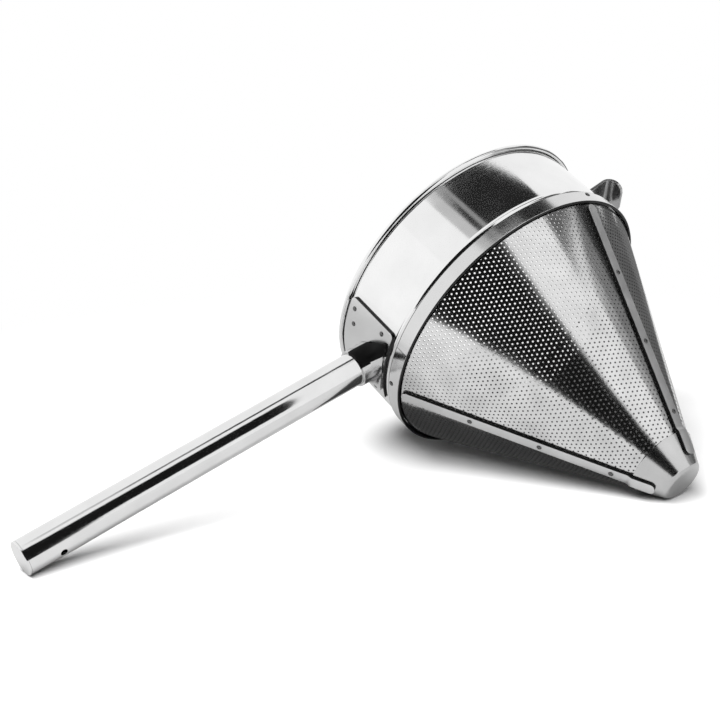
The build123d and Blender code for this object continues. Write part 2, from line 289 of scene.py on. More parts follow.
# %% Cards that the steel mirrors
def card(name, corners, shade):
    """A flat card through four corners, seen only in reflections."""
    mesh = bpy.data.meshes.new(name)
    mesh.from_pydata([Vector(corner) for corner in corners], [], [(0, 1, 2, 3)])
    sheet = bpy.data.objects.new(name, mesh)
    bpy.context.scene.collection.objects.link(sheet)
    paint, output = new_material(name + "_paint")
    glow = paint.node_tree.nodes.new("ShaderNodeEmission")
    glow.inputs["Color"].default_value = (shade, shade, shade, 1)
    paint.node_tree.links.new(glow.outputs[0], output.inputs["Surface"])
    mesh.materials.append(paint)
    sheet.visible_camera = False
    sheet.visible_shadow = False
    sheet.visible_diffuse = False
    print("card", name, "of shade", shade)


def upright_card(name, start, end, low, high, shade):
    """A card standing between two places on the floor, from one height to another."""
    card(name, [(*start, low), (*end, low), (*end, high), (*start, high)], shade)


def level_card(name, left, right, front, back, height, shade):
    """A card lying level overhead."""
    outline = [(left, front), (right, front), (right, back), (left, back)]
    card(name, [(*corner, height) for corner in outline], shade)


upright_card("dark_front", (0.566, -0.094), (0.063, -0.580), 0.0, 0.95, 0.010)
upright_card("pale_right", (0.568, 0.488), (0.466, 0.585), 0.0, 0.57, 0.44)
upright_card("grey_right_1", (0.466, 0.585), (0.331, 0.713), 0.0, 0.57, 0.24)
upright_card("grey_right_2", (0.331, 0.713), (0.079, 0.800), 0.0, 0.60, 0.15)
upright_card("grey_right_3", (0.079, 0.800), (-0.104, 0.801), 0.0, 0.33, 0.14)
upright_card("grey_right_4", (-0.104, 0.801), (-0.347, 0.724), 0.0, 0.19, 0.20)
upright_card("dark_right", (0.331, 0.666), (0.207, 0.727), 0.36, 0.54, 0.02)
upright_card("bright_left", (-0.10, -1.10), (-1.00, -0.30), 0.0, 1.0, 1.05)
right_top_corners = [
    (0.640, 0.420, 0.660), (0.331, 0.713, 0.570),
    (0.331, 0.713, 0.850), (0.640, 0.420, 0.850),
]
card("dark_right_top", right_top_corners, 0.10)
level_card("gap_overhead", -0.100, 0.030, -0.060, 0.150, 0.80, 0.02)
level_card("gap_far_end", -0.100, 0.160, 0.150, 0.500, 0.80, 0.02)
level_card("gap_edge_1", -0.110, 0.025, -0.160, -0.060, 0.81, 0.30)
level_card("gap_edge_2", -0.130, 0.025, -0.270, -0.160, 0.82, 0.58)
level_card("dark_spot", -0.068, -0.018, -0.147, -0.097, 0.79, 0.0)
streak_corners = [
    (0.010, -0.040, 0.200), (0.086, -0.019, 0.101),
    (0.078, -0.232, 0.045), (-0.003, -0.255, 0.150),
]
card("dark_streak", streak_corners, 0.01)

UNDER_HEIGHT = 0.5 * MM
under_corners = [(-0.075, 0.004), (0.090, 0.082), (0.090, 0.125), (-0.075, 0.075)]
card("dark_under", [(*corner, UNDER_HEIGHT) for corner in under_corners], 0.05)

# %% [markdown]
# Every sheet on the strainer was drawn or spun, polished, and then used. A shared group gives
# what that leaves: fine lines one way, and faint clouds of handling in the tone and the shine.

# %% Worked steel, shared by all the pieces
CLOUD_SCALE = 55.0
CLOUD_DETAIL = 5.0
LINE_DETAIL = 4.0
LINE_RELIEF = 0.1 * MM
STEEL_INPUTS = {
    "Line Depth": 0.1,
    "Cloud Depth": 0.5,
    "Tone": 0.75,
    "Polish": 0.12,
    "Blotch": 0.1,
}


def make_steel_group():
    """Colour, roughness and normal of polished sheet, its lines read at the given place."""
    tree = bpy.data.node_groups.new("worked_steel", "ShaderNodeTree")
    add = tree.interface.new_socket
    add(name="Place", in_out="INPUT", socket_type="NodeSocketVector")
    for name, value in STEEL_INPUTS.items():
        add(name=name, in_out="INPUT", socket_type="NodeSocketFloat").default_value = value
    add(name="Color", in_out="OUTPUT", socket_type="NodeSocketColor")
    add(name="Roughness", in_out="OUTPUT", socket_type="NodeSocketFloat")
    add(name="Normal", in_out="OUTPUT", socket_type="NodeSocketVector")
    link = tree.links.new
    inner = tree.nodes.new("NodeGroupInput")
    outer = tree.nodes.new("NodeGroupOutput")

    lines = tree.nodes.new("ShaderNodeTexNoise")
    lines.inputs["Scale"].default_value = 1.0
    lines.inputs["Detail"].default_value = LINE_DETAIL
    link(inner.outputs["Place"], lines.inputs["Vector"])

    coordinates = tree.nodes.new("ShaderNodeTexCoord")
    clouds = tree.nodes.new("ShaderNodeTexNoise")
    clouds.inputs["Scale"].default_value = CLOUD_SCALE
    clouds.inputs["Detail"].default_value = CLOUD_DETAIL
    link(coordinates.outputs["Object"], clouds.inputs["Vector"])

    centred = math_node(tree, "SUBTRACT", clouds.outputs["Fac"], 0.5)
    blotch = math_node(tree, "MULTIPLY_ADD", centred, inner.outputs["Blotch"], 1.0)
    tone = math_node(tree, "MULTIPLY", inner.outputs["Tone"], blotch)
    color = tree.nodes.new("ShaderNodeCombineColor")
    for socket in ("Red", "Green", "Blue"):
        link(tone, color.inputs[socket])
    link(color.outputs[0], outer.inputs["Color"])

    haze = math_node(tree, "MULTIPLY_ADD", centred, inner.outputs["Cloud Depth"], 1.0)
    haze = math_node(tree, "MULTIPLY", haze, inner.outputs["Polish"])
    link(haze, outer.inputs["Roughness"])

    bump = tree.nodes.new("ShaderNodeBump")
    bump.inputs["Distance"].default_value = LINE_RELIEF
    link(inner.outputs["Line Depth"], bump.inputs["Strength"])
    link(lines.outputs["Fac"], bump.inputs["Height"])
    link(bump.outputs["Normal"], outer.inputs["Normal"])
    return tree


# %% A finish that uses the group
worked_steel = make_steel_group()
turn_to_own = to_own.to_euler()
CLOUD_DEPTH = 0.8
ROUND_LINES = (40, 40, 2600)
ALONG_LINES = (25, 1800, 1800)
FINE_GRAIN = (500, 500, 500)


def steel(name, line_scale, tone, polish, line_depth=0.1, blotch=0.15, metal=1.0):
    """Steel whose drawn lines run the way in which line_scale is small."""
    material, output = new_material(name)
    tree = material.node_tree
    link = tree.links.new
    shader = tree.nodes.new("ShaderNodeBsdfPrincipled")
    shader.inputs["Metallic"].default_value = metal
    finish = tree.nodes.new("ShaderNodeGroup")
    finish.node_tree = worked_steel
    finish.inputs["Tone"].default_value = tone
    finish.inputs["Polish"].default_value = polish
    finish.inputs["Line Depth"].default_value = line_depth
    finish.inputs["Cloud Depth"].default_value = CLOUD_DEPTH
    finish.inputs["Blotch"].default_value = blotch
    coordinates = tree.nodes.new("ShaderNodeTexCoord")
    turn = tree.nodes.new("ShaderNodeMapping")
    turn.inputs["Rotation"].default_value = turn_to_own
    turn.inputs["Location"].default_value = to_own.translation
    stretch = tree.nodes.new("ShaderNodeMapping")
    stretch.inputs["Scale"].default_value = line_scale
    link(coordinates.outputs["Object"], turn.inputs["Vector"])
    link(turn.outputs["Vector"], stretch.inputs["Vector"])
    link(stretch.outputs["Vector"], finish.inputs["Place"])
    link(finish.outputs["Color"], shader.inputs["Base Color"])
    link(finish.outputs["Roughness"], shader.inputs["Roughness"])
    link(finish.outputs["Normal"], shader.inputs["Normal"])
    link(shader.outputs[0], output.inputs["Surface"])
    return material


# %% The finishes, from the same group
sheet_steel = steel("spun_sheet_steel", ROUND_LINES, tone=0.85, polish=0.09)
ring_steel = steel("brushed_ring_steel", ROUND_LINES, tone=0.68, polish=0.15, line_depth=0.15)
cone_steel = steel(
    "punched_sheet_steel", FINE_GRAIN, tone=0.71, polish=0.13, line_depth=0.25, blotch=0.6
)
# painted shade: the cone's inner face and hole walls are drawn much darker than its outer face,
# standing for the shade inside the cone
painted_shade_skin = steel("painted_shade_inner_skin", FINE_GRAIN, tone=0.13, polish=0.42)
cap_steel = steel(
    "pressed_cap_steel", FINE_GRAIN, tone=0.61, polish=0.16, line_depth=0.12, blotch=0.4
)
handle_steel = steel("drawn_tube_steel", ALONG_LINES, tone=0.80, polish=0.11)
strap_steel = steel(
    "dull_strap_steel", FINE_GRAIN, tone=0.62, polish=0.36, line_depth=0.2, blotch=0.4, metal=0.85
)
# painted shade: near-black steel for edges, side faces and inner faces, standing for the shadow
# lines beside them
painted_shade_steel = steel("painted_edge_shade", FINE_GRAIN, tone=0.05, polish=0.5)
plate_steel = steel(
    "brushed_plate_steel", FINE_GRAIN, tone=0.66, polish=0.20, line_depth=0.15, blotch=0.3
)
hook_steel = steel(
    "dull_hook_steel", FINE_GRAIN, tone=0.48, polish=0.22, line_depth=0.15, blotch=0.3
)
# painted shade: near-black steel that paints the dark patch on the boss's side by the ring
boss_shade_steel = steel("painted_boss_shade", FINE_GRAIN, tone=0.015, polish=0.6)
# painted shade: rivet heads are drawn near black, standing for the shade and dark reflections on
# the small domes
rivet_steel = steel("rivet_steel", FINE_GRAIN, tone=0.14, polish=0.25)
finishes = {
    "sheet_steel": sheet_steel,
    "perforated_sheet": cone_steel,
    "handle_steel": handle_steel,
    "strap_steel": strap_steel,
    "rod_steel": sheet_steel,
    "rivet_steel": rivet_steel,
}
for node in nodes.values():
    for slot in node.material_slots:
        slot.material = finishes[slot.material.name.split(".")[0]]
print(len(nodes), "nodes have their finish")

# %% [markdown]
# Most of the bowl is turned: one profile, swung once round the axis. The profile is a single
# point pulled from place to place, which is how a spinner thinks of the sheet's edge.

# %% Turned sheets
TURN_STEPS = 240
WELD = 0.001 * MM
SMOOTH_ANGLE = math.radians(32)
CUT_ANGLE = math.radians(60)
SHEET_EDGE = 0.15 * MM


def drawn_line(name, points):
    """A single point pulled out along a profile of radii and heights."""
    plain_select()
    bpy.ops.mesh.primitive_plane_add(size=MM)
    piece = bpy.context.object
    piece.name = name
    bpy.ops.object.mode_set(mode="EDIT")
    bpy.ops.mesh.select_mode(type="VERT")
    bpy.ops.mesh.select_all(action="SELECT")
    bpy.ops.mesh.merge(type="CENTER")
    bpy.ops.transform.translate(value=(points[0][0], 0, points[0][1]))
    for start, end in zip(points, points[1:]):
        step = (end[0] - start[0], 0, end[1] - start[1])
        bpy.ops.mesh.extrude_vertices_move(TRANSFORM_OT_translate={"value": step})
    return piece


def turned(name, points, steps=TURN_STEPS, arc=math.tau):
    """The profile swung round the axis and welded where it meets itself."""
    piece = drawn_line(name, points)
    bpy.ops.mesh.select_all(action="SELECT")
    bpy.ops.mesh.spin(steps=steps, angle=arc, center=(0, 0, 0), axis=(0, 0, 1))
    bpy.ops.mesh.select_all(action="SELECT")
    bpy.ops.mesh.remove_doubles(threshold=WELD)
    bpy.ops.object.mode_set(mode="OBJECT")
    return piece


def dress(piece, *materials):
    """Gives a piece its materials, the second a near-black painted shade for its edges, inside or
    hidden side.
    """
    for material in materials:
        piece.data.materials.append(material)


def thicken(piece, wall, edge=0.0, segments=2, inside=0, rim=0):
    """Gives a drawn surface its wall, half to each side, and rounds the cut edges."""
    shell = piece.modifiers.new("wall", "SOLIDIFY")
    shell.thickness = wall
    shell.offset = 0
    shell.use_even_offset = True
    shell.material_offset = inside
    shell.material_offset_rim = rim
    bpy.ops.object.modifier_apply(modifier=shell.name)
    if edge:
        rounding = piece.modifiers.new("edge", "BEVEL")
        rounding.width = edge
        rounding.segments = segments
        rounding.limit_method = "ANGLE"
        rounding.angle_limit = CUT_ANGLE
        bpy.ops.object.modifier_apply(modifier=rounding.name)


def lay_over(piece, slot, *replaced):
    """Smooths a finished piece, carries it to where it lies and hides the nodes that it replaces.

    The wide faces set the shading, so a rounded edge doesn't bend the flat beside it.
    """
    select_only(piece)
    bpy.ops.object.shade_smooth_by_angle(angle=SMOOTH_ANGLE)
    piece.matrix_world = own_frame
    bpy.ops.object.transform_apply(location=True, rotation=True, scale=True)
    level = piece.modifiers.new("level", "WEIGHTED_NORMAL")
    level.keep_sharp = True
    bpy.ops.object.modifier_apply(modifier=level.name)
    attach(piece, "root")
    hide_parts(*replaced)
    print(piece.name, "has", len(piece.data.polygons), "faces")


def face_out(piece):
    """Turns every face of a closed piece outward."""
    edit_all()
    bpy.ops.mesh.normals_make_consistent(inside=False)
    bpy.ops.object.mode_set(mode="OBJECT")


# %% [markdown]
# The cone is fine perforated sheet, rolled up from one flat sector and welded along one seam,
# which the first guard strap covers. Thousands of holes are made as the press makes them: one
# punched six-sided cell, repeated in staggered rows over a flat sheet, trimmed to the sector
# and only then rolled. So the rows stay straight on the flat and swing round on the cone,
# as they do on the real one.

# %% One punched cell
HOLE_PITCH = 3.1 * MM
HOLE_RADIUS = 0.61 * MM
HOLE_SIDES = 12
ROW_TURN = math.radians(10.5)
SHEET_WALL = 0.8 * MM
CELL_STEP = math.tau / HOLE_SIDES

plain_select()
bpy.ops.mesh.primitive_circle_add(vertices=HOLE_SIDES, radius=HOLE_RADIUS)
perforation = bpy.context.object
perforation.name = "punched_sheet"
bpy.ops.object.mode_set(mode="EDIT")
bpy.ops.mesh.extrude_edges_move()
outer_share = HOLE_PITCH / 2 / HOLE_RADIUS
bpy.ops.transform.resize(value=(outer_share, outer_share, 1), center_override=(0, 0, 0))
bpy.ops.object.mode_set(mode="OBJECT")
for vertex in perforation.data.vertices:
    if vertex.co.length > HOLE_PITCH / 2 - WELD:
        step = round(math.atan2(vertex.co.y, vertex.co.x) / CELL_STEP)
        if step % 2:
            vertex.co /= math.cos(CELL_STEP)
print("one cell has", len(perforation.data.polygons), "faces")

# %% [markdown]
# Two cells, one a half step over, are the smallest block that tiles a rectangle.

# %% Repeat the cell over a flat sheet
TIP_RADIUS = 13.6 * MM
CAP_BUILD = 1.2 * MM
ROW_STEP = HOLE_PITCH * math.sin(math.radians(60))
SPARE_CELLS = 3
CELL_WELD = 20 * WELD

cone_angle = math.atan2(skirt_outer - (TIP_RADIUS - CAP_BUILD), -tip_end)
cone_sin = math.sin(cone_angle)
cone_cos = math.cos(cone_angle)
cone_tan = math.tan(cone_angle)


def cone_radius(height, build=0.0):
    """Radius, at a height, of the surface that lies the given build outside the cone."""
    return skirt_outer + height * cone_tan + build / cone_cos


sheet_middle = skirt_outer - SHEET_WALL / 2
cone_corner = SHEET_WALL / 2 * (1 - cone_cos) / cone_sin
slant_top = sheet_middle / cone_sin
slant_foot = cone_radius(cone_foot, -SHEET_WALL / 2) / cone_sin
half_sector = math.pi * cone_sin

edit_all()
bpy.ops.mesh.duplicate_move(TRANSFORM_OT_translate={"value": (HOLE_PITCH / 2, ROW_STEP, 0)})
bpy.ops.mesh.select_all(action="SELECT")
sheet_start = -slant_top * math.sin(ROW_TURN) - HOLE_PITCH
bpy.ops.transform.translate(value=(sheet_start, -slant_top, 0))
bpy.ops.object.mode_set(mode="OBJECT")
sheet_width = slant_top - sheet_start
for axis, pitch, reach in ((0, HOLE_PITCH, sheet_width), (1, 2 * ROW_STEP, 2 * slant_top)):
    rows = perforation.modifiers.new("rows", "ARRAY")
    rows.use_relative_offset = False
    rows.use_constant_offset = True
    rows.constant_offset_displace = (0, 0, 0)
    rows.constant_offset_displace[axis] = pitch
    rows.count = int(reach / pitch) + SPARE_CELLS
    bpy.ops.object.modifier_apply(modifier=rows.name)
edit_all()
bpy.ops.transform.rotate(value=-ROW_TURN, orient_axis="Z", center_override=(0, 0, 0))
bpy.ops.object.mode_set(mode="OBJECT")
print("flat sheet has", len(perforation.data.polygons), "faces")

# %% [markdown]
# The flat sector is what the cone unrolls to. What lies well outside it is thrown away first,
# then the cells are welded together and the two seam edges are cut straight.

# %% Trim the sheet to the cone's flat sector
def pick_faces(piece, wanted):
    """Selects the faces whose middle the test wants, and stays in edit mode."""
    bpy.ops.object.mode_set(mode="EDIT")
    bpy.ops.mesh.select_mode(type="FACE")
    bpy.ops.mesh.select_all(action="DESELECT")
    bpy.ops.object.mode_set(mode="OBJECT")
    for face in piece.data.polygons:
        face.select = wanted(face.center)
    bpy.ops.object.mode_set(mode="EDIT")


def off_the_sector(place):
    """Whether a place lies more than a pitch outside the sector."""
    slant = math.hypot(place.x, place.y)
    turn = abs(math.atan2(place.y, place.x))
    if turn > half_sector + HOLE_PITCH / slant:
        return True
    return not slant_foot - HOLE_PITCH < slant < slant_top + HOLE_PITCH


pick_faces(perforation, off_the_sector)
bpy.ops.mesh.delete(type="FACE")
bpy.ops.mesh.select_all(action="SELECT")
bpy.ops.mesh.remove_doubles(threshold=CELL_WELD)
for side in (1, -1):
    bpy.ops.mesh.select_all(action="SELECT")
    seam_normal = (-math.sin(half_sector), side * math.cos(half_sector), 0)
    bpy.ops.mesh.bisect(plane_co=(0, 0, 0), plane_no=seam_normal, clear_outer=True)
bpy.ops.object.mode_set(mode="OBJECT")
print("sector of", round(math.degrees(2 * half_sector), 1), "degrees")

# %% [markdown]
# Rolling keeps every distance along the sheet: the distance from the sector's point becomes the
# distance from the cone's point, and its angle opens out to the full turn. The seam comes to lie
# where the first strap will cover it. Then the two round edges are trimmed level.

# %% Roll it into the cone
STRAP_TURN = math.radians(-4.7)

for vertex in perforation.data.vertices:
    slant = math.hypot(vertex.co.x, vertex.co.y)
    turn = math.atan2(vertex.co.y, vertex.co.x) / cone_sin + math.pi + STRAP_TURN
    radius = slant * cone_sin
    height = cone_corner - (slant_top - slant) * cone_cos
    vertex.co = (radius * math.cos(turn), radius * math.sin(turn), height)
bpy.ops.object.mode_set(mode="EDIT")
for height, way in ((cone_corner, 1), (cone_foot, -1)):
    bpy.ops.mesh.select_all(action="SELECT")
    bpy.ops.mesh.bisect(plane_co=(0, 0, height), plane_no=(0, 0, way), clear_outer=True)
bpy.ops.object.mode_set(mode="OBJECT")
print("rolled cone has", len(perforation.data.vertices), "points")

# %% [markdown]
# One mesh of that many holes is heavy, so the rolled sheet is parted into three along the edges
# of its own cells. The parts share every edge and read as one sheet. Each then gets its wall.

# %% Part the cone in three and give it its wall
STRAP_COUNT = 3
third = math.tau / STRAP_COUNT


def in_third(number):
    """A test for the places that lie between one strap and the next."""
    def test(place):
        return int((math.atan2(place.y, place.x) - STRAP_TURN) % math.tau // third) == number
    return test


cone_parts = [perforation]
for number in range(1, STRAP_COUNT):
    before = set(bpy.data.objects)
    pick_faces(perforation, in_third(number))
    bpy.ops.mesh.separate(type="SELECTED")
    bpy.ops.object.mode_set(mode="OBJECT")
    cone_parts += set(bpy.data.objects) - before
for number, part in enumerate(cone_parts, start=1):
    select_only(part)
    part.name = f"punched_cone_{number}"
    # the inner face and the hole walls take the painted shade
    dress(part, cone_steel, painted_shade_skin)
    thicken(part, SHEET_WALL, inside=1, rim=1)
    face_out(part)
    lay_over(part, "perforated_sheet", "perforated_cone")

skirt = turned("cone_skirt", [(sheet_middle, cone_corner), (sheet_middle, skirt_top)])
dress(skirt, cone_steel)
thicken(skirt, SHEET_WALL, SHEET_EDGE)
lay_over(skirt, "perforated_sheet", "perforated_cone")

# %% [markdown]
# The collar is one turned sheet: a plain foot inside the ring, a soft swaged bead just above the
# ring, the plain wall, and a rim rolled outward round a wire. The foot ends a little way up
# inside the ring, which leaves a dark slot round the cone. The collar is drawn as the middle
# line of the sheet, and Solidify gives the wall, so the curl keeps an even thickness.

# %% Collar with its bead and curled rim
CURL_RADIUS = 1.95 * MM
CURL_TURN = math.radians(290)
CURL_STEPS = 20
SWAGE_START = 0.5 * MM
SWAGE_HEIGHT = 4.2 * MM
SWAGE_RISE = 0.7 * MM
SWAGE_STEPS = 14
FOOT_SLOT = 4.5 * MM
COLLAR_EDGE = 0.2 * MM

collar_middle = collar_inner + SHEET_WALL / 2
bead_foot = ring_top + SWAGE_START
curl_height = rim_top - CURL_RADIUS
curl_middle = collar_inner + CURL_RADIUS


def soft_bead(radius, foot, height, rise, steps):
    """A bead that swells out of the wall and back with no crease."""
    line = []
    for step in range(steps + 1):
        share = step / steps
        swell = rise * (1 - math.cos(math.tau * share)) / 2
        line.append((radius + swell, foot + height * share))
    return line


def arc(middle, radius, start, turn, steps):
    """Places along an arc in the plane of radius and height."""
    line = []
    for step in range(steps + 1):
        angle = start + turn * step / steps
        line.append((middle[0] + radius * math.cos(angle), middle[1] + radius * math.sin(angle)))
    return line


collar_line = [(collar_middle, collar_foot + FOOT_SLOT)]
collar_line += soft_bead(collar_middle, bead_foot, SWAGE_HEIGHT, SWAGE_RISE, SWAGE_STEPS)
curl_line_radius = CURL_RADIUS - SHEET_WALL / 2
collar_line += arc((curl_middle, curl_height), curl_line_radius, math.pi, -CURL_TURN, CURL_STEPS)
collar_piece = turned("spun_collar", collar_line)
dress(collar_piece, sheet_steel)
thicken(collar_piece, SHEET_WALL, COLLAR_EDGE)
lay_over(collar_piece, "sheet_steel", "collar")

# %% [markdown]
# The reinforcing ring is a flat bar bent round and butted. Its section is drawn closed and swung
# not quite the whole turn, which leaves the fine joint open just right of the handle. Its outer
# band is brushed steel; its inner face and the edges above and below the band carry a near-black
# painted shade.

# %% Reinforcing ring
RING_EDGE = 0.8 * MM
RING_EDGE_STEPS = 4
JOINT_ANGLE = math.radians(15.3)
JOINT_GAP = 0.4 * MM

ring_section = [(ring_inner, ring_foot), (ring_inner, ring_top)]
top_corner = (ring_outer - RING_EDGE, ring_top - RING_EDGE)
foot_corner = (ring_outer - RING_EDGE, ring_foot + RING_EDGE)
ring_section += arc(top_corner, RING_EDGE, math.pi / 2, -math.pi / 2, RING_EDGE_STEPS)
ring_section += arc(foot_corner, RING_EDGE, 0, -math.pi / 2, RING_EDGE_STEPS)
ring_piece = drawn_line("butted_ring", ring_section)
bpy.ops.mesh.select_all(action="SELECT")
bpy.ops.mesh.edge_face_add()
joint_turn = JOINT_GAP / ring_outer
bpy.ops.transform.rotate(
    value=-(JOINT_ANGLE + joint_turn / 2),
    orient_axis="Z",
    center_override=(0, 0, 0),
)
bpy.ops.mesh.select_all(action="SELECT")
bpy.ops.mesh.spin(
    steps=TURN_STEPS,
    angle=math.tau - joint_turn,
    center=(0, 0, 0),
    axis=(0, 0, 1),
)
bpy.ops.mesh.select_all(action="SELECT")
bpy.ops.mesh.normals_make_consistent(inside=False)
bpy.ops.object.mode_set(mode="OBJECT")
dress(ring_piece, ring_steel, painted_shade_steel)
# painted shade: the inner face, the top and foot faces, the top rounding and the lower half of the
# foot rounding are drawn near black
for face in ring_piece.data.polygons:
    within = math.hypot(face.center.x, face.center.y) < ring_outer - RING_EDGE
    if within or not RING_EDGE / 2 < face.center.z < ring_top - RING_EDGE:
        face.material_index = 1
lay_over(ring_piece, "sheet_steel", "reinforcing_ring")

# %% [markdown]
# The tip cap is a pressed cup. Its wall follows the cone, its flat end is joined by a soft edge,
# and its open edge is thin and square.

# %% Tip cap
CAP_WALL = 1.0 * MM
CAP_EDGE = 4.0 * MM
CAP_EDGE_STEPS = 10

cap_line_build = CAP_BUILD - CAP_WALL / 2
cap_edge_radius = CAP_EDGE - CAP_WALL / 2
end_height = tip_end + CAP_WALL / 2
edge_height = end_height + cap_edge_radius
edge_middle = cone_radius(edge_height, cap_line_build) - cap_edge_radius / cone_cos
cap_line = [(cone_radius(cap_top, cap_line_build), cap_top)]
cap_swing = cone_angle - math.pi / 2
cap_edge_middle = (edge_middle, edge_height)
cap_line += arc(cap_edge_middle, cap_edge_radius, -cone_angle, cap_swing, CAP_EDGE_STEPS)
cap_line += [(edge_middle / 2, end_height), (0, end_height)]
cap_piece = turned("pressed_tip_cap", cap_line)
dress(cap_piece, cap_steel)
thicken(cap_piece, CAP_WALL, SHEET_EDGE)
lay_over(cap_piece, "sheet_steel", "tip_cap")

# %% [markdown]
# Three guard straps run down the outside of the cone, from the ring on to the cap, where they
# step up over its edge and end round. Each begins as a flat grid. The grid's ends are rounded,
# and then every place on it is laid on the cone: how far along and how far across become a
# height and an angle. The step over the cap is part of the same rule.

# %% Guard straps
SEAT_GAP = 0.2 * MM
STRAP_WIDTH = 7.5 * MM
STRAP_WALL = 1.6 * MM
STRAP_END_GAP = 0.6 * MM
STRAP_FOOT_MARGIN = 7.0 * MM
STRAP_CORNER = 3.4 * MM
STRAP_STEP = 3.0 * MM
STRAP_EDGE = 0.45 * MM
STRAP_EDGE_STEPS = 3
STRAP_ROWS = 150
STRAP_LANES = 10


def ease(share):
    """Runs from 0 to 1 with no jerk at either end."""
    share = min(max(share, 0.0), 1.0)
    return share * share * (3 - 2 * share)


def on_cone(turn, height, build):
    """Place that stands the given build off the cone's outer face."""
    radius = cone_radius(height) + build * cone_cos
    return Vector((radius * math.cos(turn), radius * math.sin(turn), height - build * cone_sin))


strap_foot = tip_end + STRAP_FOOT_MARGIN
strap_length = (-STRAP_END_GAP - strap_foot) / cone_cos


def strap_place(along, across, turn):
    """Where a place on the flat strap lies, with along measured down from the ring."""
    end_space = min(along, strap_length - along)
    half_width = STRAP_WIDTH / 2
    if end_space < STRAP_CORNER:
        lack = STRAP_CORNER - end_space
        half_width += math.sqrt(max(STRAP_CORNER**2 - lack**2, 0)) - STRAP_CORNER
    height = -STRAP_END_GAP - along * cone_cos
    on_cap = ease((cap_top + STRAP_STEP - height) / STRAP_STEP)
    build = SEAT_GAP + STRAP_WALL / 2 + CAP_BUILD * on_cap
    return on_cone(turn + across * half_width / cone_radius(height), height, build)


for number in range(STRAP_COUNT):
    plain_select()
    bpy.ops.mesh.primitive_grid_add(x_subdivisions=STRAP_LANES, y_subdivisions=STRAP_ROWS, size=2)
    strap = bpy.context.object
    strap.name = f"rounded_strap_{number + 1}"
    turn = STRAP_TURN + number * third
    for vertex in strap.data.vertices:
        share = (1 - vertex.co.y) / 2
        share = (1 - math.cos(math.pi * share)) / 2
        vertex.co = strap_place(share * strap_length, vertex.co.x, turn)
    # the strap's side faces take the near-black painted shade, for the shadow line beside each
    # strap
    dress(strap, strap_steel, painted_shade_steel)
    thicken(strap, STRAP_WALL, STRAP_EDGE, STRAP_EDGE_STEPS, rim=1)
    lay_over(strap, "strap_steel", f"guard_strap_{number + 1}")

# %% [markdown]
# All rivets are one small size: a low domed head outside, the same inside, and a shank between.
# The half section is drawn once for each grip and swung round, and each copy is set square to
# the sheet that it holds.

# %% Rivets
RIVET_RADIUS = 1.0 * MM
HEAD_RADIUS = 1.7 * MM
HEAD_HEIGHT = 0.7 * MM
HEAD_SEAT = 0.06 * MM
HEAD_STEPS = 5
RIVET_SIDES = 20


def rivet_line(grip):
    """Half section of a rivet whose outer head sits on height zero."""
    angles = [math.pi / 2 * step / HEAD_STEPS for step in range(HEAD_STEPS + 1)]
    dome = [(HEAD_RADIUS * math.sin(angle), HEAD_HEIGHT * math.cos(angle)) for angle in angles]
    upper = [(radius, height + HEAD_SEAT) for radius, height in dome]
    lower = [(radius, -grip - HEAD_SEAT - height) for radius, height in reversed(dome)]
    shank = [(RIVET_RADIUS, HEAD_SEAT), (RIVET_RADIUS, -grip - HEAD_SEAT)]
    return upper + shank + lower


def square_to(outward, up, place):
    """Matrix that stands a piece at a place with its own Z outward."""
    across = up.cross(outward).normalized()
    turned_up = outward.cross(across)
    matrix = Matrix((across, turned_up, outward)).transposed().to_4x4()
    matrix.translation = place
    return matrix


def on_collar(angle, height, radius):
    """Matrix of a rivet that stands on the collar or on what covers it."""
    outward = Vector((math.cos(angle), math.sin(angle), 0))
    return square_to(outward, Vector((0, 0, 1)), outward * radius + Vector((0, 0, height)))


def on_strap(angle, height):
    """Matrix of a rivet that stands on a guard strap."""
    outward = Vector((math.cos(angle), math.sin(angle), 0)) * cone_cos - Vector((0, 0, cone_sin))
    return square_to(outward, Vector((0, 0, 1)), on_cone(angle, height, SEAT_GAP + STRAP_WALL))


def set_rivets(name, grip, places, node):
    """One rivet modelled, then copied to every place."""
    first = turned(name + "_1", rivet_line(grip), RIVET_SIDES)
    dress(first, rivet_steel)
    face_out(first)
    copies = [first]
    for number in range(1, len(places)):
        copy = first.copy()
        copy.data = first.data.copy()
        copy.name = f"{name}_{number + 1}"
        bpy.context.scene.collection.objects.link(copy)
        copies.append(copy)
    for copy, place in zip(copies, places):
        copy.data.transform(place)
        lay_over(copy, "rivet_steel", node)


# %% Set the rivets
RING_RIVET_HEIGHT = 7.4 * MM
RING_RIVET_TURN = math.radians(-1.7)
STRAP_RIVET_SHARES = (0.31, 0.6125, 0.915)

ring_grip = ring_outer - (skirt_outer - SHEET_WALL)
ring_places = [
    on_collar(RING_RIVET_TURN + number * third, RING_RIVET_HEIGHT, ring_outer)
    for number in range(STRAP_COUNT)
]
set_rivets("ring_rivet", ring_grip, ring_places, "ring_rivets")
strap_grip = STRAP_WALL + SEAT_GAP + SHEET_WALL
for number in range(STRAP_COUNT):
    turn = STRAP_TURN + number * third
    strap_places = [on_strap(turn, share * cap_top) for share in STRAP_RIVET_SHARES]
    set_rivets(f"strap_rivet_{number + 1}", strap_grip, strap_places, f"strap_rivets_{number + 1}")

saddle_inner, saddle_outer, saddle_foot, saddle_top = spans("saddle_plate")
SADDLE_HALF_TURN = math.radians(17.6)
SADDLE_RIVET_SHARES = ((0.77, 0.88), (0.42, 0.82), (0.82, 0.22))
saddle_places = []
for turn_share, height_share in SADDLE_RIVET_SHARES:
    height = saddle_foot + height_share * (saddle_top - saddle_foot)
    for side in (1, -1):
        saddle_places.append(on_collar(side * turn_share * SADDLE_HALF_TURN, height, saddle_outer))
set_rivets("saddle_rivet", saddle_outer - collar_inner, saddle_places, "saddle_rivets")

